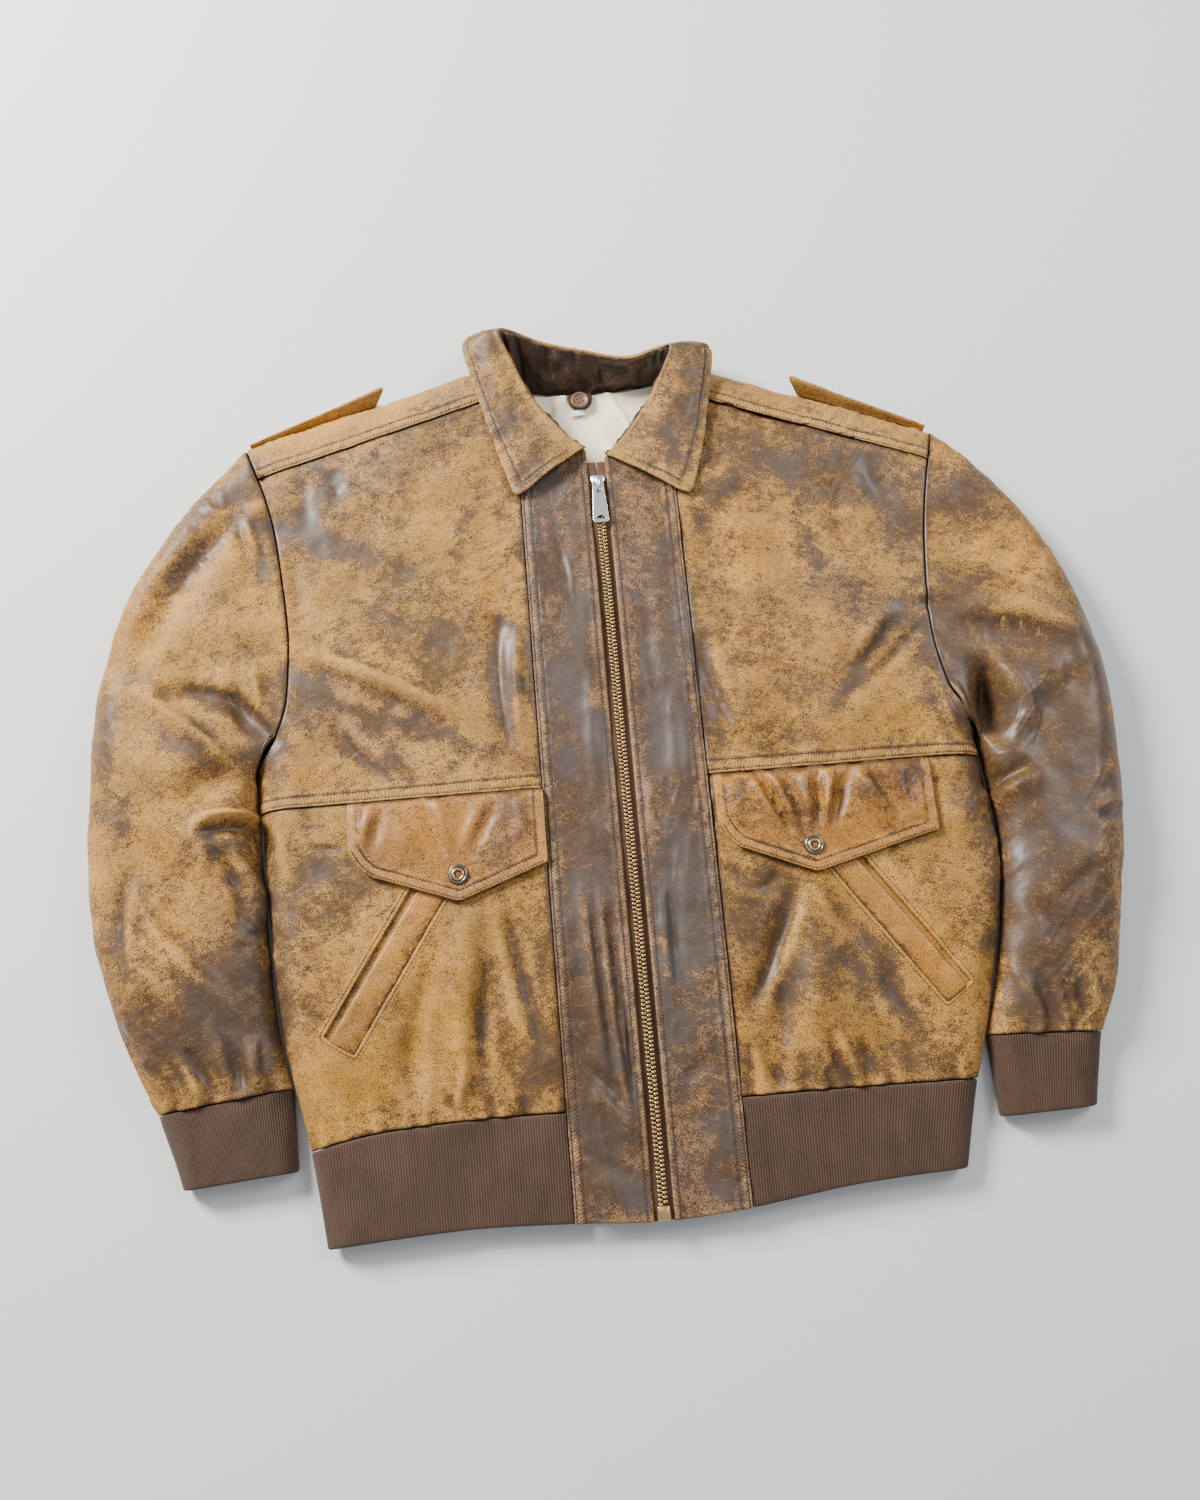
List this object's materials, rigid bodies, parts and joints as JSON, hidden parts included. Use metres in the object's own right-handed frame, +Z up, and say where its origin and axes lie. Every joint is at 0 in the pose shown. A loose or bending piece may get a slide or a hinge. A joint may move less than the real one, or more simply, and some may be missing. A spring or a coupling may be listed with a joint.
{
  "type": "leather jacket",
  "caption": "Worn tan leather flight jacket with knit hem and cuffs, zipped and laid flat on its back, front up.",
  "frame": {"origin": "point on the flat underside of the back, under the middle of the zip", "axes": "+X towards the wearer's left sleeve, +Y from the hem towards the collar, +Z up, away from the surface it lies on"},
  "size_m": [0.8877, 0.7985, 0.0541],
  "materials": {
    "worn_tan_leather": "worn satin",
    "dark_brown_leather": "satin",
    "brown_rib_knit": "matte rib knit",
    "cream_satin": "satin",
    "zip_tape": "woven tape",
    "antique_brass": "worn",
    "nickel": "plated, worn",
    "brown_button": "satin"
  },
  "bodies": {
    "jacket": {"back": "worn_tan_leather", "collar_fall": "worn_tan_leather", "collar_stand": "dark_brown_leather", "cuff_left": "brown_rib_knit", "cuff_right": "brown_rib_knit", "epaulette_left": "worn_tan_leather", "epaulette_right": "worn_tan_leather", "flap_left": "worn_tan_leather", "flap_right": "worn_tan_leather", "front_lower_left": "worn_tan_leather", "front_lower_right": "worn_tan_leather", "front_upper_left": "worn_tan_leather", "front_upper_right": "worn_tan_leather", "hem_rib_back": "brown_rib_knit", "hem_rib_left": "brown_rib_knit", "hem_rib_right": "brown_rib_knit", "lining_back": "cream_satin", "neck_button": "brown_button", "neck_tab": "dark_brown_leather", "neck_tag": "cream_satin", "placket_left": "dark_brown_leather", "placket_right": "dark_brown_leather", "pocket_facing_left": "worn_tan_leather", "pocket_facing_right": "worn_tan_leather", "sleeve_under_left": "worn_tan_leather", "sleeve_under_right": "worn_tan_leather", "sleeve_upper_left": "worn_tan_leather", "sleeve_upper_right": "worn_tan_leather", "snap_left": "nickel", "snap_right": "nickel", "welt_left": "worn_tan_leather", "welt_right": "worn_tan_leather", "yoke_left": "worn_tan_leather", "yoke_right": "worn_tan_leather", "zip_box": "antique_brass", "zip_chain": "antique_brass", "zip_slider": "nickel", "zip_tape_left": "zip_tape", "zip_tape_right": "zip_tape"},
    "pull_tab": {"zip_pull": "nickel"}
  },
  "joints": [
    {"name": "pull_tab_swing", "type": "hinge", "parent": "jacket", "child": "pull_tab", "pos_m": [0, 0.31, 0.03341], "axis": [-1, 0, 0], "range_deg": [0, 165]}
  ]
}
